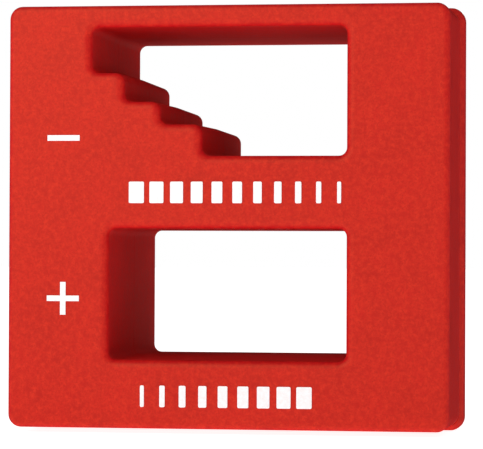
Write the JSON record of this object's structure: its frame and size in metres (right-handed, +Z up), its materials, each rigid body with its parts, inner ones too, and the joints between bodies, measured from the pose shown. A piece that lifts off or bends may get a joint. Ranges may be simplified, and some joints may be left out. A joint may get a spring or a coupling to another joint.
{
  "type": "screwdriver magnetizer and demagnetizer",
  "caption": "Red plastic block with a plain opening that magnetizes a screwdriver and a stepped opening that demagnetizes it, held upright on its edge.",
  "frame": {"origin": "middle of the base, on the flat rim round the parting plane between the two halves", "axes": "+Z up, +X to the right across the front face, +Y from the front face with the marks to the back face"},
  "size_m": [0.052, 0.0281, 0.0495],
  "materials": {
    "case_plastic": "satin moulded ABS with a fine spark-eroded grain",
    "ferrite": "unglazed ground ferrite",
    "white_ink": "pad-printed ink film"
  },
  "bodies": {
    "root": {"front_shell": "case_plastic", "rear_shell": "case_plastic", "bridge_magnet": "ferrite", "base_magnet": "ferrite", "minus_mark": "white_ink", "plus_mark": "white_ink", "fading_scale": "white_ink", "rising_scale": "white_ink"}
  },
  "joints": []
}
